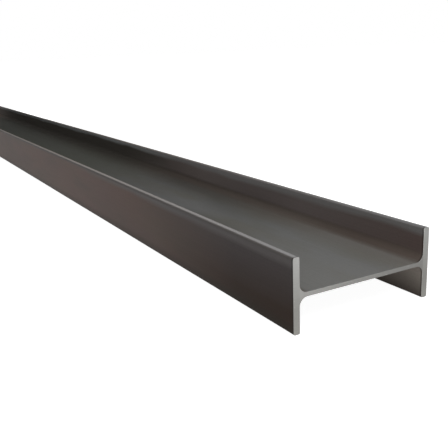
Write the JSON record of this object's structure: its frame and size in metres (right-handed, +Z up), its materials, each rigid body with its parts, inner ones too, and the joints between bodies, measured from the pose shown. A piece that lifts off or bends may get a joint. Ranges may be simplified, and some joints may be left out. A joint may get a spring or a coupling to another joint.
{
  "type": "steel i-beam",
  "caption": "Hot-rolled steel I-beam with parallel flanges and filleted roots, sawn square at both ends, for framing floors, roofs and supports.",
  "frame": {"origin": "on the floor under the middle of the beam, which lies on the toes of both flanges with its web level", "axes": "+X along the beam towards its near sawn end, +Y across the section's depth from one flange to the other, +Z up"},
  "size_m": [6, 0.408, 0.182],
  "materials": {
    "hot_rolled_steel": "dark blue-brown mill scale from hot rolling, with bright grey sawn ends"
  },
  "bodies": {
    "root": {"rolled_beam": "hot_rolled_steel"}
  },
  "joints": []
}
